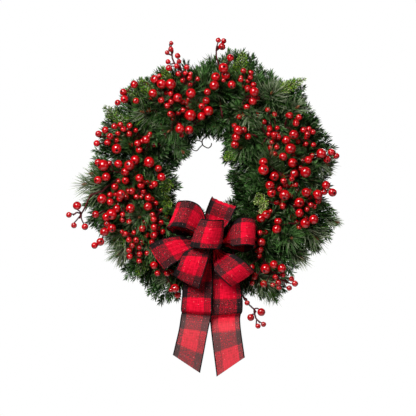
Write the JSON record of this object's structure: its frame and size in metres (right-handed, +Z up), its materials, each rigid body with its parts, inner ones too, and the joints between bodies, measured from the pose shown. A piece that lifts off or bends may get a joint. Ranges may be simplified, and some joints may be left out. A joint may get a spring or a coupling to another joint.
{
  "type": "artificial christmas wreath",
  "caption": "Round artificial wreath of pine and red berry sprays on a wire ring, with a plaid ribbon bow and tails; hangs on a door or wall hook.",
  "frame": {"origin": "hanging point: underside of the outer ring wire at twelve o'clock, where a hook bears", "axes": "+Z up as it hangs, front faces -Y, +X to the right as seen from the front"},
  "size_m": [0.5951, 0.1559, 0.743],
  "materials": {
    "painted_wire": "satin green paint on steel wire",
    "pine_needles": "matt PVC and PE needles, dark green with yellow-green tips",
    "berry_red": "glossy red lacquer on foam berries",
    "brown_twig": "matt brown-red paper wrapped wire",
    "plaid_ribbon": "woven black and red buffalo plaid with wired black edges",
    "tie_wire": "dark coated florist's wire"
  },
  "bodies": {
    "root": {"bow_loop_centre": "plaid_ribbon", "bow_loop_left": "plaid_ribbon", "bow_loop_lower_left": "plaid_ribbon", "bow_loop_lower_right": "plaid_ribbon", "bow_loop_right": "plaid_ribbon", "bow_loop_top": "plaid_ribbon", "bow_loop_upper_left": "plaid_ribbon", "bow_tail_left": "plaid_ribbon", "bow_tail_right": "plaid_ribbon", "bow_tie": "tie_wire", "inner_branch_01": "pine_needles", "inner_branch_02": "pine_needles", "inner_branch_03": "pine_needles", "inner_branch_04": "pine_needles", "inner_branch_05": "pine_needles", "inner_branch_06": "pine_needles", "inner_branch_07": "pine_needles", "inner_branch_08": "pine_needles", "inner_branch_09": "pine_needles", "inner_branch_10": "pine_needles", "outer_branch_01": "pine_needles", "outer_branch_02": "pine_needles", "outer_branch_03": "pine_needles", "outer_branch_04": "pine_needles", "outer_branch_05": "pine_needles", "outer_branch_06": "pine_needles", "outer_branch_07": "pine_needles", "outer_branch_08": "pine_needles", "outer_branch_09": "pine_needles", "outer_branch_10": "pine_needles", "outer_branch_11": "pine_needles", "outer_branch_12": "pine_needles", "ring_frame": "painted_wire", "spray_bottom_left": "berry_red", "spray_bottom_right": "berry_red", "spray_far_left": "berry_red", "spray_hanging": "berry_red", "spray_inner_left": "berry_red", "spray_inner_low_left": "berry_red", "spray_inner_mid_right": "berry_red", "spray_inner_right": "berry_red", "spray_inner_top": "berry_red", "spray_left": "berry_red", "spray_left_shoulder": "berry_red", "spray_left_shoulder_low": "berry_red", "spray_low_left": "berry_red", "spray_low_right_edge": "berry_red", "spray_lower_left_edge": "berry_red", "spray_lower_right": "berry_red", "spray_mid_right": "berry_red", "spray_right": "berry_red", "spray_right_shoulder": "berry_red", "spray_top_centre": "berry_red", "spray_top_left": "berry_red", "spray_top_right": "berry_red", "spray_upright": "berry_red"}
  },
  "joints": []
}
